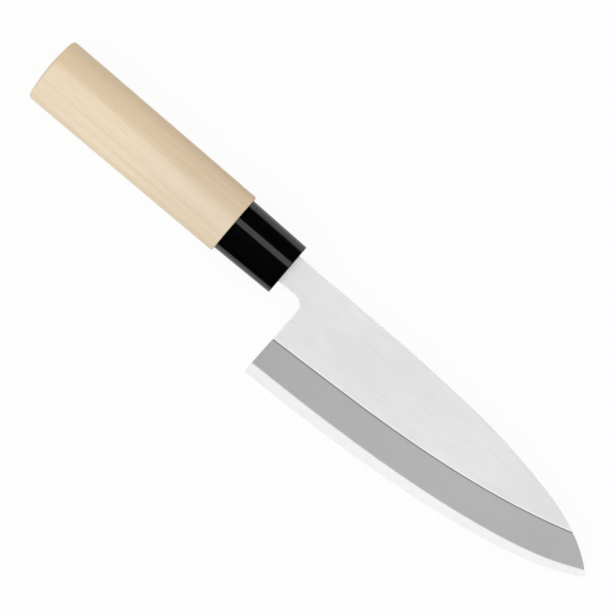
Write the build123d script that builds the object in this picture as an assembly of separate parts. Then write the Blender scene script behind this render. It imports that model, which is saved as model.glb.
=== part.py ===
from build123d import *
import math
import os

# Deba knife: a thick, single-bevel Japanese kitchen knife with a hidden tang.
# +X runs to the tip, +Y to the spine, +Z up out of the bevelled side of the blade.
# While the knife is modelled, X starts at the front of the ferrule, Y at the middle of
# the handle and Z at the flat back of the blade. It is then set down on z = 0.
# All lengths are in millimetres.

# Blade
blade_length = 163.0
heel_height = 51.3
heel_lean = 0.6
spine_rise = 7.4
spine_thickness = 5.0
tip_thickness = 2.2
edge_thickness = 0.2
spine_ease = 0.4

# Hard steel layer on the back, which is also the cutting edge
hard_steel_at_heel = 1.48
hard_steel_at_tip = 0.6

# Hollow that a large wheel grinds into the back, inside a flat rim
hollow_wheel_radius = 500.0
hollow_spine_rim = 3.2
hollow_edge_rim = 2.0

# Neck and tang
neck_length = 14.1
neck_height = 13.5
choil_radius = 5.0
tang_length = 86.0
tang_end_height = 7.0
tang_end_thickness = 2.8
tang_nose_length = 7.0
tang_nose_height = 3.0

# Wooden handle
grip_length = 101.0
butt_height = 30.0
butt_depth = 23.5
grip_draw_in = 0.6
ridge_offset = 2.2
ridge_radius = 6.0
butt_dome_radius = 80.0
butt_dome_rise = 0.9
butt_edge_radius = 1.8
grip_front_edge = 0.6

# Ferrule
ferrule_length = 29.4
ferrule_back_height = 25.5
ferrule_back_depth = 19.3
ferrule_front_height = 24.5
ferrule_front_depth = 18.5
ferrule_wall = 2.0
ferrule_face = 3.5
ferrule_front_edge = 0.4

# Fits, and how far a cut runs past what it cuts
slot_clearance = 0.2
tenon_clearance = 0.1
bedding_thickness = 1.2
overrun = 5.0

# Section of the handle: slope of the flanks at the ridge in degrees, and the radius of
# the sides as a share of the half depth
ridge_slope = 12.0
side_round_share = 0.68

# Blade in stations from heel to tip. Each gives its place as a share of blade_length,
# then the spine, the line where flat and bevel meet, and the edge as shares of
# heel_height down from the spine, then the share of its rims' gap that the hollow fills.
blade_shares = [
    (-0.06, 0.000, 0.655, 1.003, 0.00),
    (0.06, 0.000, 0.636, 0.995, 0.82),
    (0.15, 0.000, 0.621, 0.985, 1.00),
    (0.30, 0.003, 0.592, 0.957, 1.00),
    (0.45, 0.020, 0.5505, 0.9155, 1.00),
    (0.60, 0.054, 0.4885, 0.8555, 1.00),
    (0.75, 0.1275, 0.398, 0.7685, 0.96),
    (0.90, 0.2645, 0.2695, 0.632, 0.62),
    (1.00, 0.480, 0.159, 0.480, 0.00),
    (1.06, 0.700, 0.080, 0.372, 0.00),
]
spine_start_share = 0.27
tip_slope = 50.0
hollow_end_shares = [(0.025, 0.50), (0.945, 0.455)]
bevel_reach_share = 0.08

tang_middle = spine_rise - neck_height / 2
handle_middle = spine_thickness / 2
butt_x = -(ferrule_length + grip_length)


def blade_point(along_share, down_share):
    """Place on the blade, from its share of the length and its share of the height."""
    return neck_length + along_share * blade_length, spine_rise - down_share * heel_height


def flat_height(x):
    """Height of the upper flat over the back: the steel thins evenly to the tip."""
    taper = (spine_thickness - tip_thickness) / (neck_length + blade_length)
    return spine_thickness - taper * x


def blade_outline():
    """Outline of the blade seen from the bevelled side: neck, spine, tip, edge and heel."""
    neck_start = -ferrule_face
    neck_bottom = spine_rise - neck_height
    choil_start = (neck_length - choil_radius, neck_bottom)
    choil_end = (neck_length, neck_bottom - choil_radius)
    heel = (neck_length - heel_lean, spine_rise - heel_height)
    spine_start = blade_point(spine_start_share, 0)
    stations = [row for row in blade_shares if 0 < row[0] <= 1]
    spine = [blade_point(row[0], row[1]) for row in stations if row[0] > spine_start_share]
    edge = [blade_point(row[0], row[3]) for row in reversed(stations)]
    tip_direction = Vector(1, 0).rotate(Axis.Z, -tip_slope)
    outline = Curve() + [
        Line((neck_start, spine_rise), spine_start),
        Spline(spine_start, *spine, tangents=[Vector(1, 0), tip_direction]),
        Spline(*edge, heel),
        Line(heel, choil_end),
        RadiusArc(choil_end, choil_start, -choil_radius),
        Polyline(choil_start, (neck_start, neck_bottom), (neck_start, spine_rise)),
    ]
    return make_face(outline)


def side_slab(*points):
    """Solid with this outline in the XZ plane, wider than the blade on both sides."""
    face = Plane.XZ * Polygon(*points, align=None)
    return extrude(face, amount=2 * heel_height, both=True)


def bevel_waste():
    """Steel ground away over the bevel, which is straight between the flat and the edge."""
    flat = []
    edge = []
    for along_share, _, flat_share, edge_share, _ in blade_shares:
        x, y = blade_point(along_share, flat_share)
        flat.append(Vector(x, y, flat_height(x)))
        edge.append(Vector(*blade_point(along_share, edge_share), edge_thickness))
    above = Spline([high + (high - low) * bevel_reach_share for high, low in zip(flat, edge)])
    beyond = Spline([low + (low - high) * bevel_reach_share for high, low in zip(flat, edge)])
    bevel = Face.make_surface_from_curves(above.edge(), beyond.edge())
    return Solid.extrude(bevel, Vector(0, 0, 2 * spine_thickness))


def blade_blank():
    """The blade before its bevel: thinner to the tip, its upper edges eased."""
    far_end = neck_length + blade_length + overrun
    back_end = -ferrule_face - overrun
    taper = side_slab(
        (back_end, 0),
        (far_end, 0),
        (far_end, flat_height(far_end)),
        (back_end, flat_height(back_end)),
    )
    blank = extrude(blade_outline(), amount=2 * spine_thickness, both=True) & taper
    upper_edges = blank.faces().sort_by(Axis.Z)[-1].edges()
    cutting_edge = upper_edges.sort_by(Axis.Y)[0]
    hidden_end = upper_edges.sort_by(Axis.X)[0]
    return fillet([edge for edge in upper_edges if edge not in (cutting_edge, hidden_end)], spine_ease)


def hard_steel_slab():
    """Space of the hard layer: from the neck's end to past the tip, thinner at the tip."""
    start = neck_length - choil_radius
    far_end = neck_length + blade_length
    return side_slab(
        (start, -overrun),
        (far_end + overrun, -overrun),
        (far_end + overrun, hard_steel_at_tip),
        (far_end, hard_steel_at_tip),
        (start, hard_steel_at_heel),
    )


def hollow_section(along_share, spine_share, edge_share, fill_share):
    """Section of the hollow at one station: an arc of the wheel between the two rims."""
    x, spine_y = blade_point(along_share, spine_share)
    edge_y = blade_point(along_share, edge_share)[1]
    middle = (spine_y - hollow_spine_rim + edge_y + hollow_edge_rim) / 2
    half_width = fill_share * (spine_y - hollow_spine_rim - edge_y - hollow_edge_rim) / 2
    depth = hollow_wheel_radius - math.sqrt(hollow_wheel_radius**2 - half_width**2)
    low = (middle - half_width, 0)
    high = (middle + half_width, 0)
    outline = Curve() + [
        ThreePointArc(low, (middle, depth), high),
        Polyline(high, (middle + half_width, -overrun), (middle - half_width, -overrun), low),
    ]
    return Plane.YZ.offset(x) * make_face(outline)


def back_hollow():
    """The hollow in the back: deepest at mid height, running out at heel and tip."""
    sections = [
        hollow_section(along, spine, edge, fill)
        for along, spine, _, edge, fill in blade_shares
        if fill > 0
    ]
    ends = [Vertex(*blade_point(*end_share), 0) for end_share in hollow_end_shares]
    return loft([ends[0], *sections, ends[1]])


def flank_end(apex, slope, side, half_height, side_round):
    """Where the arc that leaves the apex at this slope runs into the round of one side."""
    round_middle = Vector(side * (half_height - side_round), 0)
    up = math.copysign(1, apex.Y)
    inward = Vector(-side * math.sin(slope), -up * math.cos(slope))
    to_apex = apex - round_middle
    radius = (to_apex.length**2 - side_round**2) / (-2 * (to_apex.dot(inward) + side_round))
    outward = round_middle - (apex + inward * radius)
    return round_middle + outward.normalized() * side_round


def handle_section(x, height, depth):
    """Section of the handle at x: oval back, and two flanks that meet in a blunt ridge."""
    half_height = height / 2
    half_depth = depth / 2
    side_round = side_round_share * half_depth
    ridge = Vector(ridge_offset, half_depth)
    belly = Vector(0, -half_depth)
    slope = math.radians(ridge_slope)
    front = [flank_end(ridge, slope, side, half_height, side_round) for side in (-1, 1)]
    back = [flank_end(belly, 0, side, half_height, side_round) for side in (-1, 1)]
    down = Vector(math.cos(slope), -math.sin(slope))
    outline = Curve() + [
        TangentArc(ridge, front[0], tangent=Vector(-down.X, down.Y)),
        ThreePointArc(front[0], (-half_height, 0), back[0]),
        ThreePointArc(back[0], belly, back[1]),
        ThreePointArc(back[1], (half_height, 0), front[1]),
        TangentArc(ridge, front[1], tangent=down),
    ]
    section = make_face(outline)
    section = fillet(section.vertices().sort_by(Axis.Y)[-1], ridge_radius)
    return Plane((x, 0, handle_middle), x_dir=(0, 1, 0), z_dir=(1, 0, 0)) * section


def ferrule_section(x, inset):
    """Section of the ferrule at x, drawn in by inset all round."""
    share = -x / ferrule_length
    height = ferrule_front_height + share * (ferrule_back_height - ferrule_front_height)
    depth = ferrule_front_depth + share * (ferrule_back_depth - ferrule_front_depth)
    return handle_section(x, height - 2 * inset, depth - 2 * inset)


def across_tang(x):
    """Plane across the tang at x, on its middle line."""
    return Plane((x, tang_middle, handle_middle), x_dir=(0, 1, 0), z_dir=(1, 0, 0))


def tang_section(x, growth):
    """Section of the tang at x, grown by growth all round."""
    share = -x / tang_length
    height = neck_height + share * (tang_end_height - neck_height)
    thickness = spine_thickness + share * (tang_end_thickness - spine_thickness)
    return across_tang(x) * Rectangle(height + 2 * growth, thickness + 2 * growth)


def make_tang():
    """Hidden tang: it tapers in height and thickness, and ends in a blunt nose."""
    nose = across_tang(-tang_length) * Rectangle(tang_nose_height, tang_end_thickness)
    body_end = tang_section(-tang_length + tang_nose_length, 0)
    return loft([nose, body_end, tang_section(-ferrule_face, 0)], ruled=True)


def make_ferrule():
    """Moulded cap over the front of the handle, with a slot for the neck."""
    shell = loft([ferrule_section(-ferrule_length, 0), ferrule_section(0, 0)])
    shell = chamfer(shell.faces().sort_by(Axis.X)[-1].edges(), ferrule_front_edge)
    cavity_start = ferrule_section(-ferrule_length - overrun, ferrule_wall)
    cavity = loft([cavity_start, ferrule_section(-ferrule_face, ferrule_wall)])
    slot_height = neck_height + 2 * slot_clearance
    slot_width = spine_thickness + 2 * slot_clearance
    slot_mouth = across_tang(0) * RectangleRounded(slot_height, slot_width, slot_clearance)
    return shell - cavity - extrude(slot_mouth, amount=ferrule_face + overrun, both=True)


def tang_bore():
    """Bore for the tang and its bedding, from inside the ferrule's face to past the tang."""
    bore_end = tang_section(-tang_length - bedding_thickness, bedding_thickness)
    return loft([bore_end, tang_section(-ferrule_face, bedding_thickness)])


def make_handle():
    """Wooden grip with a domed butt, and the tenon that the ferrule fits over."""
    butt = handle_section(butt_x, butt_height, butt_depth)
    draw_in_angle = math.degrees(math.atan(grip_draw_in / grip_length))
    grip = extrude(butt, amount=grip_length, taper=draw_in_angle)
    dome_middle = Pos(butt_x + butt_dome_radius, butt_dome_rise, handle_middle)
    grip = grip & dome_middle * Sphere(butt_dome_radius)
    grip = fillet(grip.faces().sort_by(Axis.X)[0].edges(), butt_edge_radius)
    grip = chamfer(grip.faces().sort_by(Axis.X)[-1].edges(), grip_front_edge)
    inset = ferrule_wall + tenon_clearance
    tenon_front = ferrule_section(-ferrule_face - tenon_clearance, inset)
    tenon = loft([ferrule_section(-ferrule_length, inset), tenon_front])
    return grip + tenon - tang_bore()


blade = blade_blank() - bevel_waste()
hard_space = hard_steel_slab()
tang = make_tang()
nodes = {
    "blade_body": blade - hard_space + tang,
    "hard_steel_edge": (blade & hard_space) - back_hollow(),
    "ferrule": make_ferrule(),
    "wooden_handle": make_handle(),
    "tang_bedding": tang_bore() - tang,
}

# The knife lies with the middle of its length and width over the origin, handle on z = 0.
whole = Compound(children=[node.solid() for node in nodes.values()]).bounding_box()
set_down = Pos(-whole.center().X, -whole.center().Y, -whole.min.Z)
os.makedirs("parts", exist_ok=True)
for name, node in nodes.items():
    export_step(set_down * node, f"parts/{name}.step")
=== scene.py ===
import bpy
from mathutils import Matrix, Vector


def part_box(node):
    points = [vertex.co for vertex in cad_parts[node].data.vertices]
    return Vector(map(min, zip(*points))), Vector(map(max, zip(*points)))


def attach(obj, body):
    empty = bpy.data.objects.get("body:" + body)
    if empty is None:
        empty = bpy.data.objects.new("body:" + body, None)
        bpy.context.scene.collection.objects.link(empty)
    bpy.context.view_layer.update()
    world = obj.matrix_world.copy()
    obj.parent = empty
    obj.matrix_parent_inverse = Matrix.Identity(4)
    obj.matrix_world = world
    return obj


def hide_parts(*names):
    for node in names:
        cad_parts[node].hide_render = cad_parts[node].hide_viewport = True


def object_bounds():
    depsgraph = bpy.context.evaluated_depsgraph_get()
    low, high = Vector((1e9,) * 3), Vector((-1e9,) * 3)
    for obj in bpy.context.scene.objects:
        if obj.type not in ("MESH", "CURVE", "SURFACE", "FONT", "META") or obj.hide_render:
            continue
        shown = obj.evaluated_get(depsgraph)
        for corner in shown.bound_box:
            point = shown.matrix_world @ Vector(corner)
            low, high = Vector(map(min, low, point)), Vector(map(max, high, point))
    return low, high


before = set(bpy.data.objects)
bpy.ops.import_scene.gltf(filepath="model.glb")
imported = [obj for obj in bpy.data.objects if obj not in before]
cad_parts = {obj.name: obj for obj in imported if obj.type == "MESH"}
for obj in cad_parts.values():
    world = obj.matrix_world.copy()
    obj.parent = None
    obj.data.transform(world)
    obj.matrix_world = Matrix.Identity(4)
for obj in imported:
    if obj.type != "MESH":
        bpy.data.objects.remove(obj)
cad_bounds = [list(corner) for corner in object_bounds()]

import math

import bmesh
import bpy
from mathutils import Vector, kdtree

# Deba knife seen straight from above, bevelled side up, with its handle to the upper left.
# Lengths are in metres, in the same frame as the solids: +X to the tip, +Y to the spine.
MM = 0.001

# Camera: the photograph's frame is this wide at the blade, and is turned about the view. Its
# middle lies this far from the point where the ferrule's front crosses the handle's axis.
FRAME_WIDTH = 256.5 * MM
FRAME_REACH = Vector((16.68 * MM, -6.64 * MM, -2.5 * MM))
FRAME_TURN = math.radians(40.4)
CAMERA_DISTANCE = 2.5
SENSOR_WIDTH = 36.0

# Section of the handle, as on the solids; the skins lie a hair's breadth inside them
HAIR = 0.03 * MM
RIDGE_OFFSET = 2.2 * MM
RIDGE_RADIUS = 6.0 * MM
RIDGE_SLOPE = math.radians(12.0)
SIDE_ROUND_SHARE = 0.68

# Wooden handle
BUTT_HEIGHT = 30.0 * MM
BUTT_DEPTH = 23.5 * MM
GRIP_DRAW_IN = 0.6 * MM
DOME_RADIUS = 80.0 * MM
DOME_RISE = 0.9 * MM
BUTT_ROUND = 1.8 * MM
GRIP_FRONT_ROUND = 0.6 * MM

# Ferrule
FERRULE_BACK_SIZE = (25.5 * MM, 19.3 * MM)
FERRULE_FRONT_SIZE = (24.5 * MM, 18.5 * MM)
FERRULE_FRONT_ROUND = 0.4 * MM
FERRULE_WALL = 2.0 * MM
FERRULE_FACE = 3.5 * MM
SLOT_CLEARANCE = 0.2 * MM
TENON_CLEARANCE = 0.1 * MM

# Tang: its sections at the ferrule's front and at its end, with the bedding round it
TANG_FRONT_SIZE = (13.5 * MM, 5.0 * MM)
TANG_END_SIZE = (7.0 * MM, 2.8 * MM)
TANG_LENGTH = 86.0 * MM
BEDDING_THICKNESS = 1.2 * MM

# Rings of the handle and ferrule: points in each, shares of the way from the dome's apex to its
# rounded edge, and steps along each round and length. The grip's even rings start this far from
# the butt. A crease shows where faces meet at more than this angle.
SECTION_POINTS = 160
DOME_SHARES = (0.06, 0.15, 0.3, 0.45, 0.6, 0.72, 0.82, 0.9, 0.96)
BUTT_ROUND_STEPS = 8
GRIP_START = 4 * BUTT_ROUND
GRIP_STEPS = 40
GRIP_FRONT_STEPS = 4
FERRULE_STEPS = 16
FERRULE_FRONT_STEPS = 5
SHARP_EDGE = math.radians(35)

# Wood: painted shade warms, then deepens, the colour over these ranges of Y towards the spine's
# side, and a little painted shade deepens it over this range of X towards the ferrule. Growth
# rings lie about a pith below the handle, this far apart, and wander this much along it. They show
# faintly on the sides and more on the end grain, where the surface's normal falls in this range of X.
WARM_PAINTED_SHADE = (13.5 * MM, 31.5 * MM)
SHADED_SIDE = (23.0 * MM, 29.0 * MM)
SHADED_FRONT = (-120.0 * MM, -65.0 * MM)
PITH = (0.0, -18.0 * MM, -55.0 * MM)
RING_SPACING = 3.2 * MM
RING_WANDER = 5.0 * MM
RING_ON_SIDES = 0.11
RING_ON_END = 0.32
END_GRAIN = (-0.6, -0.98)

# Steel: noise cells per metre of scratches that run along the blade, or across it
ALONG_BLADE = (60, 2500, 2500)
ACROSS_BLADE = (2500, 60, 2500)
SCRATCH_SHARE = 0.06
ROUGHNESS_SPREAD = 0.035

# Blade meshes: spacing of their points, and of the points read along their lines; reach and
# number of the finer cuts near those lines; reach of a weld; what still counts as level; and how
# thin a triangle may stay, as its area over the square of its length
BLADE_PITCH = 2.0 * MM
LINE_SPACING = 0.2 * MM
LINE_REACH = 1.0 * MM
LINE_CUTS = 3
WELD = 0.002 * MM
LEVEL_ANGLE = math.radians(0.02)
SLIVER_SHARE = 0.0001
BLADE_SHARP_EDGE = math.radians(5)

# Surfaces of the blade, told apart by limits on their normals, and by lying before or behind
# the heel, which is this far in front of the ferrule
SURFACES = ("flat", "bevel", "ease", "side", "back")
HEEL_PLACE = 13.4 * MM
BACK_LIMIT = -0.9
FLAT_LIMIT = 0.9985
BEVEL_LIMIT = 0.8
EASE_LIMIT = 0.3
BEVEL_TILT = 0.1
BEVEL_TURN = -0.05

# Floor, and the room that is seen or mirrored: heights of the white horizon's fade, and how far
# towards either end the pale walls begin and are full, both as parts of a direction
FLOOR_RADIUS = 12.0
FLOOR_SIDES = 96
FLOOR_DROP = 0.02 * MM
FLOOR_COLOUR = 0.9
FLOOR_GLOW = 0.92
AMBIENT_LEVEL = 0.62
WALL_LEVEL = 0.5
CEILING_LEVEL = 0.012
HORIZON_FADE = (0.03, 0.12)
WALL_FADE = (0.25, 0.6)
WHITE = (1, 1, 1, 1)

# Lamps, placed from the middle of the knife
OVERHEAD_PLACE = Vector((0, 0.03, 1.0))
OVERHEAD_SIZE = (1.1, 0.87)
OVERHEAD_RADIANCE = 1.1
KEY_PLACE = Vector((-0.5, -1.2, 1.25))
KEY_SIZE = (1.2, 1.2)
KEY_RADIANCE = 1.5

# The knife's one body, which every piece rides on
root = "root"


# Camera

def make_camera():
    """Camera straight above the blade, far off, turned as the photograph is."""
    data = bpy.data.cameras.new("camera")
    data.sensor_width = SENSOR_WIDTH
    data.lens = SENSOR_WIDTH * CAMERA_DISTANCE / FRAME_WIDTH
    data.clip_end = 2 * CAMERA_DISTANCE
    camera = bpy.data.objects.new("camera", data)
    ferrule_front = handle_middle() + Vector((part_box("ferrule")[1].x, 0, 0))
    camera.location = ferrule_front + FRAME_REACH + Vector((0, 0, CAMERA_DISTANCE))
    camera.rotation_euler = (0, 0, FRAME_TURN)
    bpy.context.scene.collection.objects.link(camera)
    bpy.context.scene.camera = camera


# Node helpers

class Shader:
    """Nodes of one material or world, added and linked in short calls."""

    def __init__(self, owner):
        owner.use_nodes = True
        self.tree = owner.node_tree
        self.tree.nodes.clear()

    def set_input(self, node, name, value):
        """A value for one input of a node, or a link to it."""
        if isinstance(value, bpy.types.NodeSocket):
            self.tree.links.new(value, node.inputs[name])
        else:
            node.inputs[name].default_value = value

    def add(self, kind, inputs=None, **settings):
        """A node, with its settings and the values or links of its inputs."""
        node = self.tree.nodes.new("ShaderNode" + kind)
        for name, value in settings.items():
            setattr(node, name, value)
        for name, value in (inputs or {}).items():
            self.set_input(node, name, value)
        return node

    def math(self, operation, first, second=0.0):
        """Sum, product or the like of two numbers, or a function of the first alone."""
        return self.add("Math", {0: first, 1: second}, operation=operation).outputs[0]

    def span(self, value, low, high, to_low=0.0, to_high=1.0, smooth=True):
        """Value carried from one range to another, held at its ends."""
        inputs = {"Value": value, "From Min": low, "From Max": high, "To Min": to_low, "To Max": to_high}
        kind = "SMOOTHSTEP" if smooth else "LINEAR"
        return self.add("MapRange", inputs, interpolation_type=kind).outputs["Result"]

    def mix(self, factor, first, second, blend="MIX"):
        """Colour between two colours, through the colour slots of the mix node."""
        node = self.add("Mix", data_type="RGBA", blend_type=blend)
        for slot, value in ((0, factor), (6, first), (7, second)):
            self.set_input(node, slot, value)
        return node.outputs[2]

    def place(self, scale):
        """Place on the object, stretched along each axis."""
        coordinates = self.add("TexCoord").outputs["Object"]
        return self.add("Mapping", {"Vector": coordinates, "Scale": scale}).outputs["Vector"]

    def noise(self, scale, detail=3.0, roughness=0.55):
        """Noise with this many cells per metre along each axis."""
        inputs = {"Vector": self.place(scale), "Scale": 1.0, "Detail": detail, "Roughness": roughness}
        return self.add("TexNoise", inputs).outputs["Fac"]

    def bump(self, height, strength, distance):
        """Normal of a surface with this relief."""
        inputs = {"Height": height, "Strength": strength, "Distance": distance}
        return self.add("Bump", inputs).outputs["Normal"]

    def seen(self):
        """One for rays that show a thing, straight or by way of metal or glass; zero for light."""
        path = self.add("LightPath").outputs
        shown = self.math("MAXIMUM", path["Is Camera Ray"], path["Is Glossy Ray"])
        return self.math("MAXIMUM", shown, path["Is Transmission Ray"])

    def principled(self, **inputs):
        """Finished surface of the material. Inputs go by their names in small letters."""
        surface = self.add("BsdfPrincipled")
        sockets = {socket.name.lower().replace(" ", "_"): socket.name for socket in surface.inputs}
        for name, value in inputs.items():
            self.set_input(surface, sockets[name], value)
        self.add("OutputMaterial", {"Surface": surface.outputs[0]})


def srgb(red, green, blue):
    """Linear colour of a colour given in the usual 0 to 255 steps."""
    def linear(step):
        level = step / 255
        return level / 12.92 if level <= 0.04045 else ((level + 0.055) / 1.055) ** 2.4
    return (linear(red), linear(green), linear(blue), 1.0)


def grey(level):
    """Neutral colour of this level."""
    return srgb(level, level, level)


# Materials

def steel_material(name, light, dark, metallic, roughness, grain, line, line_colour, line_width):
    """Worked steel: fine scratches along the grain, faint clouding, and a thin line of another colour near
    a border: beside the shinogi a painted highlight on the flat and painted shade on the bevel, at the
    lamination the steels' own line.
    """
    material = bpy.data.materials.new(name)
    s = Shader(material)
    scratches = s.noise(grain, detail=4.0, roughness=0.7)
    clouds = s.noise((18.0, 26.0, 18.0), detail=2.0)
    tone = s.mix(s.span(clouds, 0.3, 0.7), dark, light)
    tone = s.mix(s.span(scratches, 0.4, 0.65, 0.0, SCRATCH_SHARE), tone, grey(120))
    from_line = s.add("Attribute", attribute_name=line).outputs["Fac"]
    tone = s.mix(s.span(from_line, line_width, 0.3 * line_width), tone, line_colour)
    rough = s.span(scratches, 0.3, 0.7, roughness - ROUGHNESS_SPREAD, roughness + ROUGHNESS_SPREAD)
    normal = s.bump(scratches, strength=0.015, distance=0.01 * MM)
    s.principled(base_color=tone, metallic=metallic, roughness=rough, normal=normal)
    return material


def growth_rings(s):
    """Share of late wood: each ring darkens slowly outwards, and then ends."""
    across = s.place((0.0, 1.0, 1.0))
    depth = s.add("VectorMath", {0: across, 1: PITH}, operation="DISTANCE").outputs["Value"]
    wander = s.math("MULTIPLY", s.noise((4.0, 28.0, 28.0), detail=2.0), RING_WANDER)
    count = s.math("DIVIDE", s.math("ADD", depth, wander), RING_SPACING)
    within = s.math("FRACT", count)
    return s.math("MINIMUM", s.span(within, 0.35, 0.93), s.span(within, 1.0, 0.94))


def wood_material():
    """Pale close-grained wood, sanded and left without a finish."""
    material = bpy.data.materials.new("pale_wood")
    s = Shader(material)
    streaks = s.noise((14.0, 420.0, 420.0), detail=5.0, roughness=0.6)
    bands = s.noise((5.0, 90.0, 90.0), detail=2.0)
    pores = s.noise((160.0, 2600.0, 2600.0), detail=2.0, roughness=0.6)
    facing = s.add("SeparateXYZ", {0: s.add("TexCoord").outputs["Normal"]}).outputs["X"]
    spot = s.add("SeparateXYZ", {0: s.place((1.0, 1.0, 1.0))}).outputs
    tone = s.mix(s.span(bands, 0.25, 0.75), srgb(229, 209, 179), srgb(238, 221, 195))
    tone = s.mix(s.span(streaks, 0.48, 0.72, 0.0, 0.35), tone, srgb(216, 192, 160))
    ring_strength = s.span(facing, *END_GRAIN, RING_ON_SIDES, RING_ON_END)
    tone = s.mix(s.math("MULTIPLY", growth_rings(s), ring_strength), tone, srgb(212, 187, 153))
    # Painted shade: the spine's side of the grip warmer and darker, and the part by the ferrule a little
    # darker.
    tone = s.mix(s.span(spot["Y"], *WARM_PAINTED_SHADE, smooth=False), tone, srgb(255, 243, 229), "MULTIPLY")
    tone = s.mix(s.span(spot["Y"], *SHADED_SIDE), tone, srgb(240, 242, 242), "MULTIPLY")
    tone = s.mix(s.span(spot["X"], *SHADED_FRONT), tone, srgb(248, 248, 249), "MULTIPLY")
    tone = s.mix(s.span(pores, 0.60, 0.72, 0.0, 0.30), tone, srgb(196, 168, 132))
    tone = s.mix(s.span(facing, *END_GRAIN), tone, srgb(240, 234, 224), "MULTIPLY")
    relief = s.math("ADD", streaks, s.math("MULTIPLY", pores, -0.6))
    normal = s.bump(relief, strength=0.25, distance=0.05 * MM)
    rough = s.span(streaks, 0.3, 0.7, 0.55, 0.66)
    s.principled(base_color=tone, roughness=rough, normal=normal)
    return material


def resin_material():
    """Black moulded resin, glossy, with faint handling marks."""
    material = bpy.data.materials.new("black_resin")
    s = Shader(material)
    marks = s.noise((60.0, 900.0, 900.0), detail=4.0, roughness=0.65)
    tone = s.mix(s.span(marks, 0.3, 0.7), grey(1), grey(3))
    rough = s.span(marks, 0.35, 0.75, 0.10, 0.16)
    normal = s.bump(marks, strength=0.04, distance=0.02 * MM)
    s.principled(base_color=tone, roughness=rough, ior=1.6, normal=normal)
    return material


def adhesive_material():
    """Cured adhesive round the tang."""
    material = bpy.data.materials.new("cured_adhesive")
    s = Shader(material)
    lumps = s.noise((300.0, 300.0, 300.0), detail=3.0)
    tone = s.mix(lumps, srgb(176, 150, 104), srgb(204, 182, 138))
    normal = s.bump(lumps, strength=0.4, distance=0.2 * MM)
    s.principled(base_color=tone, roughness=0.5, normal=normal)
    return material


# Sections of the handle and ferrule

def tangent_arc(apex, slope, side, half_height, side_round):
    """Centre and radius of the arc from the apex at this slope into the round of one side."""
    middle = Vector((side * (half_height - side_round), 0))
    up = math.copysign(1, apex.y)
    inward = Vector((-side * math.sin(slope), -up * math.cos(slope)))
    to_apex = apex - middle
    radius = (to_apex.length_squared - side_round**2) / (-2 * (to_apex.dot(inward) + side_round))
    return apex + inward * radius, radius


def normal_angle(start, end):
    """Direction from one centre to another, as an angle of the section's normal."""
    across = end - start
    return math.atan2(across.y, across.x)


def crossing(first, first_radius, second, second_radius):
    """Upper crossing of two circles, the first of them on the left."""
    apart = second - first
    along = (apart.length_squared + first_radius**2 - second_radius**2) / (2 * apart.length)
    height = math.sqrt(first_radius**2 - along**2)
    direction = apart.normalized()
    return first + direction * along + Vector((-direction.y, direction.x)) * height


def section_arcs(height, depth):
    """Arcs of the section: each its centre, its radius and the normal's angle where it ends."""
    half_height = height / 2
    half_depth = depth / 2
    side_round = SIDE_ROUND_SHARE * half_depth
    ridge = Vector((RIDGE_OFFSET, half_depth))
    belly = Vector((0, -half_depth))
    right_flank, right_radius = tangent_arc(ridge, RIDGE_SLOPE, 1, half_height, side_round)
    left_flank, left_radius = tangent_arc(ridge, RIDGE_SLOPE, -1, half_height, side_round)
    back, back_radius = tangent_arc(belly, 0, 1, half_height, side_round)
    right_side = Vector((half_height - side_round, 0))
    left_side = -right_side
    top = crossing(right_flank, right_radius - RIDGE_RADIUS, left_flank, left_radius - RIDGE_RADIUS)
    turn = 2 * math.pi
    return [
        (right_side, side_round, normal_angle(right_flank, right_side)),
        (right_flank, right_radius, normal_angle(right_flank, top)),
        (top, RIDGE_RADIUS, normal_angle(left_flank, top)),
        (left_flank, left_radius, normal_angle(left_flank, left_side)),
        (left_side, side_round, turn + normal_angle(back, left_side)),
        (back, back_radius, turn + normal_angle(back, right_side)),
        (right_side, side_round, turn),
    ]


def section_point(arcs, angle, inset=0.0):
    """Point of the section whose normal has this angle, drawn in by inset."""
    for centre, radius, end in arcs:
        if angle <= end:
            break
    return centre + (radius - inset) * Vector((math.cos(angle), math.sin(angle)))


def ring(x, middle, height, depth, inset=0.0):
    """Ring of points round the handle at x."""
    arcs = section_arcs(height, depth)
    points = []
    for step in range(SECTION_POINTS):
        flat = section_point(arcs, 2 * math.pi * (step + 0.5) / SECTION_POINTS, inset + HAIR)
        points.append(Vector((x, middle.y + flat.x, middle.z + flat.y)))
    return points


def handle_middle():
    """Point on the handle's axis: middle of its sides, and of the neck's thickness."""
    low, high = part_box("ferrule")
    return Vector((0, (low.y + high.y) / 2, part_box("hard_steel_edge")[0].z + TANG_FRONT_SIZE[1] / 2))


def grip_size(x):
    """Height and depth of the grip's section at x, drawn in towards the ferrule."""
    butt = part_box("wooden_handle")[0].x
    drawn = 2 * GRIP_DRAW_IN * (x - butt) / (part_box("ferrule")[0].x - butt)
    return BUTT_HEIGHT - drawn, BUTT_DEPTH - drawn


def ferrule_size(x, inset=0.0):
    """Height and depth of the ferrule's section at x, drawn in by inset all round."""
    low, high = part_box("ferrule")
    share = (x - low.x) / (high.x - low.x)
    return Vector(FERRULE_BACK_SIZE).lerp(Vector(FERRULE_FRONT_SIZE), share) - Vector((inset, inset)) * 2


def rectangle_ring(x, size, like):
    """Rectangle round the tang's axis at x: a point towards each in another ring, and the corners."""
    middle = Vector((x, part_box("blade_body")[1].y - TANG_FRONT_SIZE[0] / 2, handle_middle().z))
    half = size / 2
    points = []
    for other in like:
        direction = (other - middle).yz.normalized()
        reach = 1 / max(abs(direction.x) / half.x, abs(direction.y) / half.y)
        points.append(middle + Vector((0, direction.x, direction.y)) * reach)
    for across, up in ((1, 1), (-1, 1), (-1, -1), (1, -1)):
        corner = middle + Vector((0, across * half.x, up * half.y))
        nearest = min(range(len(points)), key=lambda index: (points[index] - corner).length)
        points[nearest] = corner
    return points


def spread(start, end, steps):
    """Even places from start to end, both among them."""
    return [start + (end - start) * step / steps for step in range(steps + 1)]


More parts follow.
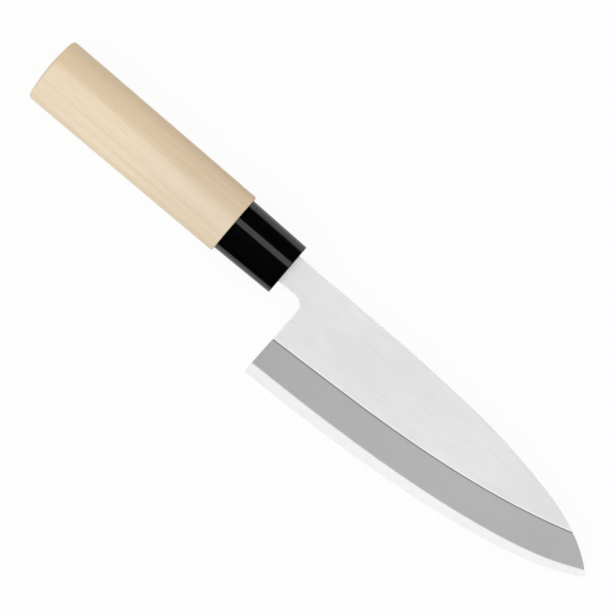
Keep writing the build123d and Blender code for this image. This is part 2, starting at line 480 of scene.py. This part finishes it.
def round_over(steps):
    """Shares of a quarter round: how far in, and how far along, from the end to the side."""
    angles = [math.pi / 2 * step / steps for step in range(steps + 1)]
    return [(1 - math.sin(angle), 1 - math.cos(angle)) for angle in angles]


def round_off(steps):
    """The same shares from the side to the end, without the first, where the side has a ring."""
    return round_over(steps)[-2::-1]


# Meshes of the handle and ferrule

def finish_mesh(name, bm, materials, sharp_angle):
    """Object of a bmesh, smooth but for its sharp edges."""
    mesh = bpy.data.meshes.new(name)
    bm.to_mesh(mesh)
    bm.free()
    for material in materials:
        mesh.materials.append(material)
    mesh.polygons.foreach_set("use_smooth", [True] * len(mesh.polygons))
    mesh.set_sharp_from_angle(angle=sharp_angle)
    piece = bpy.data.objects.new(name, mesh)
    bpy.context.scene.collection.objects.link(piece)
    return piece


def skin(name, rings, material, apex=None):
    """Closed mesh over rings of points: from an apex to a flat end, or back to the first ring."""
    bm = bmesh.new()
    rows = [[bm.verts.new(point) for point in points] for points in rings]
    steps = range(len(rows[0]))
    for near, far in zip(rows, rows[1:] + ([rows[0]] if apex is None else [])):
        for step in steps:
            bm.faces.new((near[step - 1], near[step], far[step], far[step - 1]))
    if apex is not None:
        middle = bm.verts.new(apex)
        for step in steps:
            bm.faces.new((rows[0][step - 1], rows[0][step], middle))
        bm.faces.new(rows[-1])
    bmesh.ops.recalc_face_normals(bm, faces=bm.faces)
    return finish_mesh(name, bm, [material], SHARP_EDGE)


def butt_rings(apex, middle):
    """Rings of the domed butt, from round its apex to the end of its rounded edge."""
    def dome(point):
        across = (point.yz - apex.yz).length
        return apex.x + DOME_RADIUS - math.sqrt(DOME_RADIUS**2 - across**2)

    rings = []
    inner = ring(apex.x, middle, BUTT_HEIGHT, BUTT_DEPTH, BUTT_ROUND)
    for share in DOME_SHARES:
        spots = [apex.lerp(point, share) for point in inner]
        rings.append([Vector((dome(spot), spot.y, spot.z)) for spot in spots])
    for inward, along in round_over(BUTT_ROUND_STEPS):
        points = ring(apex.x, middle, BUTT_HEIGHT, BUTT_DEPTH, BUTT_ROUND * inward)
        rings.append([
            Vector((dome(end) + BUTT_ROUND * along, point.y, point.z)) for point, end in zip(points, inner)
        ])
    return rings


def make_handle():
    """Wooden grip with a domed butt, then its tenon in the ferrule, and the bore for the tang."""
    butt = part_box("wooden_handle")[0].x
    front, ferrule_front = (corner.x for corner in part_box("ferrule"))
    middle = handle_middle()
    apex = Vector((butt, middle.y + DOME_RISE, middle.z))
    rings = butt_rings(apex, middle)
    for x in spread(butt + GRIP_START, front - GRIP_FRONT_ROUND, GRIP_STEPS):
        rings.append(ring(x, middle, *grip_size(x)))
    for inward, along in round_off(GRIP_FRONT_STEPS):
        x = front - GRIP_FRONT_ROUND * along
        rings.append(ring(x, middle, *grip_size(x), GRIP_FRONT_ROUND * inward))
    tenon_front = ferrule_front - FERRULE_FACE - TENON_CLEARANCE
    for x in (front, tenon_front):
        rings.append(ring(x, middle, *ferrule_size(x, FERRULE_WALL + TENON_CLEARANCE)))
    around = rings[-1]
    for x in (tenon_front, ferrule_front - TANG_LENGTH - BEDDING_THICKNESS):
        tang = Vector(TANG_FRONT_SIZE).lerp(Vector(TANG_END_SIZE), (ferrule_front - x) / TANG_LENGTH)
        rings.append(rectangle_ring(x, tang + Vector((2, 2)) * BEDDING_THICKNESS, around))
    piece = skin("handle", rings, wood_material(), apex)
    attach(piece, root)
    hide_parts("wooden_handle")


def make_ferrule():
    """Moulded cap, hollow behind its face, with a slot in the face for the neck."""
    back, front = (corner.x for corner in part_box("ferrule"))
    middle = handle_middle()
    rings = []
    for x in spread(back, front - FERRULE_FRONT_ROUND, FERRULE_STEPS):
        rings.append(ring(x, middle, *ferrule_size(x)))
    for inward, along in round_off(FERRULE_FRONT_STEPS):
        x = front - FERRULE_FRONT_ROUND * along
        rings.append(ring(x, middle, *ferrule_size(x), FERRULE_FRONT_ROUND * inward))
    slot = Vector(TANG_FRONT_SIZE) + Vector((2, 2)) * SLOT_CLEARANCE
    around = rings[-1]
    for x in (front, front - FERRULE_FACE):
        rings.append(rectangle_ring(x, slot, around))
    for x in (front - FERRULE_FACE, back):
        rings.append(ring(x, middle, *ferrule_size(x, FERRULE_WALL)))
    piece = skin("ferrule_cap", rings, resin_material())
    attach(piece, root)
    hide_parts("ferrule")


# Blade

def welded(node):
    """Mesh of a CAD node with its faces joined, and level triangles made into larger faces."""
    bm = bmesh.new()
    bm.from_mesh(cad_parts[node].data)
    bmesh.ops.remove_doubles(bm, verts=bm.verts, dist=WELD)
    bmesh.ops.dissolve_limit(
        bm, angle_limit=LEVEL_ANGLE, verts=bm.verts, edges=bm.edges, delimit={"SHARP"}
    )
    return bm


def slice_evenly(bm):
    """Cuts the mesh with even planes across X and Y, for points all over it."""
    low = Vector([min(vert.co[axis] for vert in bm.verts) for axis in range(3)])
    high = Vector([max(vert.co[axis] for vert in bm.verts) for axis in range(3)])
    for axis in (0, 1):
        normal = Vector((0, 0, 0))
        normal[axis] = 1
        count = int((high[axis] - low[axis]) / BLADE_PITCH)
        for step in range(1, count):
            spot = low.copy()
            spot[axis] += (high[axis] - low[axis]) * step / count
            geometry = bm.verts[:] + bm.edges[:] + bm.faces[:]
            bmesh.ops.bisect_plane(bm, geom=geometry, dist=WELD, plane_co=spot, plane_no=normal)


def surface_sort(face, heel):
    """What a face of the blade is: its flat, its bevel, its back, an eased edge or a side."""
    normal = face.normal
    if normal.z < BACK_LIMIT:
        return "back"
    if normal.z > FLAT_LIMIT:
        return "flat"
    on_blade = face.calc_center_median().x > heel and normal.x > BEVEL_TURN
    if on_blade and normal.z > BEVEL_LIMIT and normal.y < -BEVEL_TILT:
        return "bevel"
    return "ease" if normal.z > EASE_LIMIT else "side"


def sampled(edges):
    """Points along these edges, evenly spaced."""
    points = []
    for edge in edges:
        start, end = (vert.co for vert in edge.verts)
        count = max(1, math.ceil((end - start).length / LINE_SPACING))
        points += [start.lerp(end, step / count) for step in range(count + 1)]
    return points


def border_lines(heel):
    """Points along the shinogi and along the lamination line, read from the blade body."""
    body = welded("blade_body")
    body.normal_update()
    sorts = {face: surface_sort(face, heel) for face in body.faces}
    edges = {"shinogi": [], "lamination": []}
    for edge in body.edges:
        beside = sorted(sorts[face] for face in edge.link_faces)
        if beside == ["bevel", "flat"]:
            edges["shinogi"].append(edge)
        elif beside == ["back", "bevel"]:
            edges["lamination"].append(edge)
    lines = {name: sampled(found) for name, found in edges.items()}
    body.free()
    return lines


def nearest_tree(points):
    """Search tree that finds the nearest of these points."""
    tree = kdtree.KDTree(len(points))
    for index, point in enumerate(points):
        tree.insert(point, index)
    tree.balance()
    return tree


def mark_lines(bm, lines):
    """Distance of every vertex from each line, kept for the materials."""
    for name, points in lines.items():
        tree = nearest_tree(points)
        layer = bm.verts.layers.float.new(name)
        for vert in bm.verts:
            vert[layer] = tree.find(vert.co)[2]


def turn_slivers(bm):
    """Turns the longest edge of every triangle whose points lie in one line, so that it gains an area."""
    edges = []
    for face in bm.faces:
        longest = max(face.edges, key=lambda edge: edge.calc_length())
        if face.calc_area() < SLIVER_SHARE * longest.calc_length() ** 2:
            edges.append(longest)
    bmesh.ops.rotate_edges(bm, edges=edges)


def refine_near(bm, points):
    """Halves edges near the lines, where the colour changes, and leaves clean triangles."""
    tree = nearest_tree(points)
    for _ in range(LINE_CUTS):
        close = [
            edge for edge in bm.edges
            if edge.calc_length() > LINE_REACH
            and min(tree.find(vert.co)[2] for vert in edge.verts) < LINE_REACH
        ]
        bmesh.ops.subdivide_edges(bm, edges=close, cuts=1)
    bmesh.ops.triangulate(bm, faces=bm.faces)
    bmesh.ops.dissolve_degenerate(bm, dist=WELD, edges=bm.edges)
    bmesh.ops.triangulate(bm, faces=bm.faces)
    turn_slivers(bm)


def blade_materials():
    """Material of every surface, for the blade body and for the hard layer."""
    # Flat: the lighter line beside the shinogi is a painted highlight.
    flat = steel_material(
        "satin_steel", light=grey(230), dark=grey(224), metallic=0.8, roughness=0.32,
        grain=ALONG_BLADE, line="shinogi", line_colour=grey(244), line_width=0.8 * MM)
    # Bevel: the dark line beside the shinogi is painted shade.
    bevel = steel_material(
        "ground_steel", light=grey(193), dark=grey(188), metallic=0.4, roughness=0.45,
        grain=ACROSS_BLADE, line="shinogi", line_colour=grey(145), line_width=1.0 * MM)
    # Edge strip: near white and barely metallic, a painted reflection of bright light on the polished hard
    # steel; its darker line by the lamination is the steels' own.
    bright = steel_material(
        "bright_steel", light=grey(252), dark=grey(248), metallic=0.15, roughness=0.35,
        grain=ACROSS_BLADE, line="lamination", line_colour=grey(212), line_width=0.55 * MM)
    # Eased spine edge: near white and barely metallic, a painted highlight.
    ease = steel_material(
        "eased_steel", light=grey(254), dark=grey(250), metallic=0.2, roughness=0.4,
        grain=ALONG_BLADE, line="shinogi", line_colour=grey(254), line_width=0.1 * MM)
    side = steel_material(
        "side_steel", light=grey(228), dark=grey(220), metallic=0.75, roughness=0.4,
        grain=ALONG_BLADE, line="shinogi", line_colour=grey(228), line_width=0.1 * MM)
    body = {"flat": flat, "bevel": bevel, "ease": ease, "side": side, "back": flat}
    return body, body | {"flat": bright, "bevel": bright}


def make_blade():
    """Blade body and hard layer: the solids' own surfaces, with points all over them."""
    body_materials, hard_materials = blade_materials()
    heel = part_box("ferrule")[1].x + HEEL_PLACE
    lines = border_lines(heel)
    for node, name, materials, slot in (
        ("blade_body", "blade", body_materials, "soft_iron"),
        ("hard_steel_edge", "hard_edge", hard_materials, "hard_steel"),
    ):
        bm = welded(node)
        slice_evenly(bm)
        refine_near(bm, lines["shinogi"] + lines["lamination"])
        mark_lines(bm, lines)
        bm.normal_update()
        for face in bm.faces:
            face.material_index = SURFACES.index(surface_sort(face, heel))
        piece = finish_mesh(name, bm, [materials[sort] for sort in SURFACES], BLADE_SHARP_EDGE)
        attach(piece, root)
        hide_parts(node)


# Bedding

def dress_bedding():
    """The bedding keeps its own mesh and gets a finished material."""
    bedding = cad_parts["tang_bedding"]
    bedding.data.materials.clear()
    bedding.data.materials.append(adhesive_material())


# Light and floor

def make_floor():
    """Level white floor that shows white but keeps the knife's shadow."""
    bpy.ops.mesh.primitive_circle_add(vertices=FLOOR_SIDES, radius=FLOOR_RADIUS, fill_type="NGON")
    floor = bpy.context.object
    floor.name = "floor"
    floor.location.z = -FLOOR_DROP
    material = bpy.data.materials.new("floor")
    s = Shader(material)
    lit = s.add("BsdfDiffuse", {"Color": (FLOOR_COLOUR,) * 3 + (1,)})
    glow = s.add("Emission", {"Color": WHITE, "Strength": 1.0})
    share = s.math("MULTIPLY", s.seen(), FLOOR_GLOW)
    both = s.add("MixShader", {0: share, 1: lit.outputs[0], 2: glow.outputs[0]})
    s.add("OutputMaterial", {"Surface": both.outputs[0]})
    floor.data.materials.append(material)


def make_world():
    """Even light for matt surfaces. Seen or mirrored, a white horizon in a dim room with pale end walls."""
    world = bpy.data.worlds.new("studio")
    bpy.context.scene.world = world
    s = Shader(world)
    direction = s.add("SeparateXYZ", {0: s.add("TexCoord").outputs["Generated"]}).outputs
    walls = s.span(s.math("ABSOLUTE", direction["X"]), *WALL_FADE, CEILING_LEVEL, WALL_LEVEL)
    horizon = s.span(direction["Z"], *HORIZON_FADE, 1.0, 0.0)
    room = s.add("Background", {"Color": WHITE, "Strength": s.math("MAXIMUM", walls, horizon)})
    even = s.add("Background", {"Color": WHITE, "Strength": AMBIENT_LEVEL})
    both = s.add("MixShader", {0: s.seen(), 1: even.outputs[0], 2: room.outputs[0]})
    s.add("OutputWorld", {"Surface": both.outputs[0]})


def area_light(name, place, aim, size, radiance, mirrored):
    """Soft box of this size at a place, facing a point."""
    data = bpy.data.lights.new(name, "AREA")
    data.shape = "RECTANGLE"
    data.size, data.size_y = size
    data.energy = radiance * math.pi * size[0] * size[1]
    lamp = bpy.data.objects.new(name, data)
    lamp.location = place
    lamp.rotation_euler = (aim - place).to_track_quat("-Z", "Y").to_euler()
    lamp.visible_camera = False
    lamp.visible_glossy = mirrored
    bpy.context.scene.collection.objects.link(lamp)


def make_lights():
    """A soft box overhead, which the ridge and the flat mirror, and a key from the edge's side."""
    middle = (Vector(cad_bounds[0]) + Vector(cad_bounds[1])) / 2
    overhead = middle + OVERHEAD_PLACE
    below = overhead - Vector((0, 0, 1))
    area_light("overhead", overhead, below, OVERHEAD_SIZE, OVERHEAD_RADIANCE, mirrored=True)
    area_light("key", middle + KEY_PLACE, middle, KEY_SIZE, KEY_RADIANCE, mirrored=False)


make_camera()
make_world()
make_lights()
make_floor()
make_handle()
make_ferrule()
make_blade()
dress_bedding()
bpy.context.scene.view_settings.view_transform = "Standard"
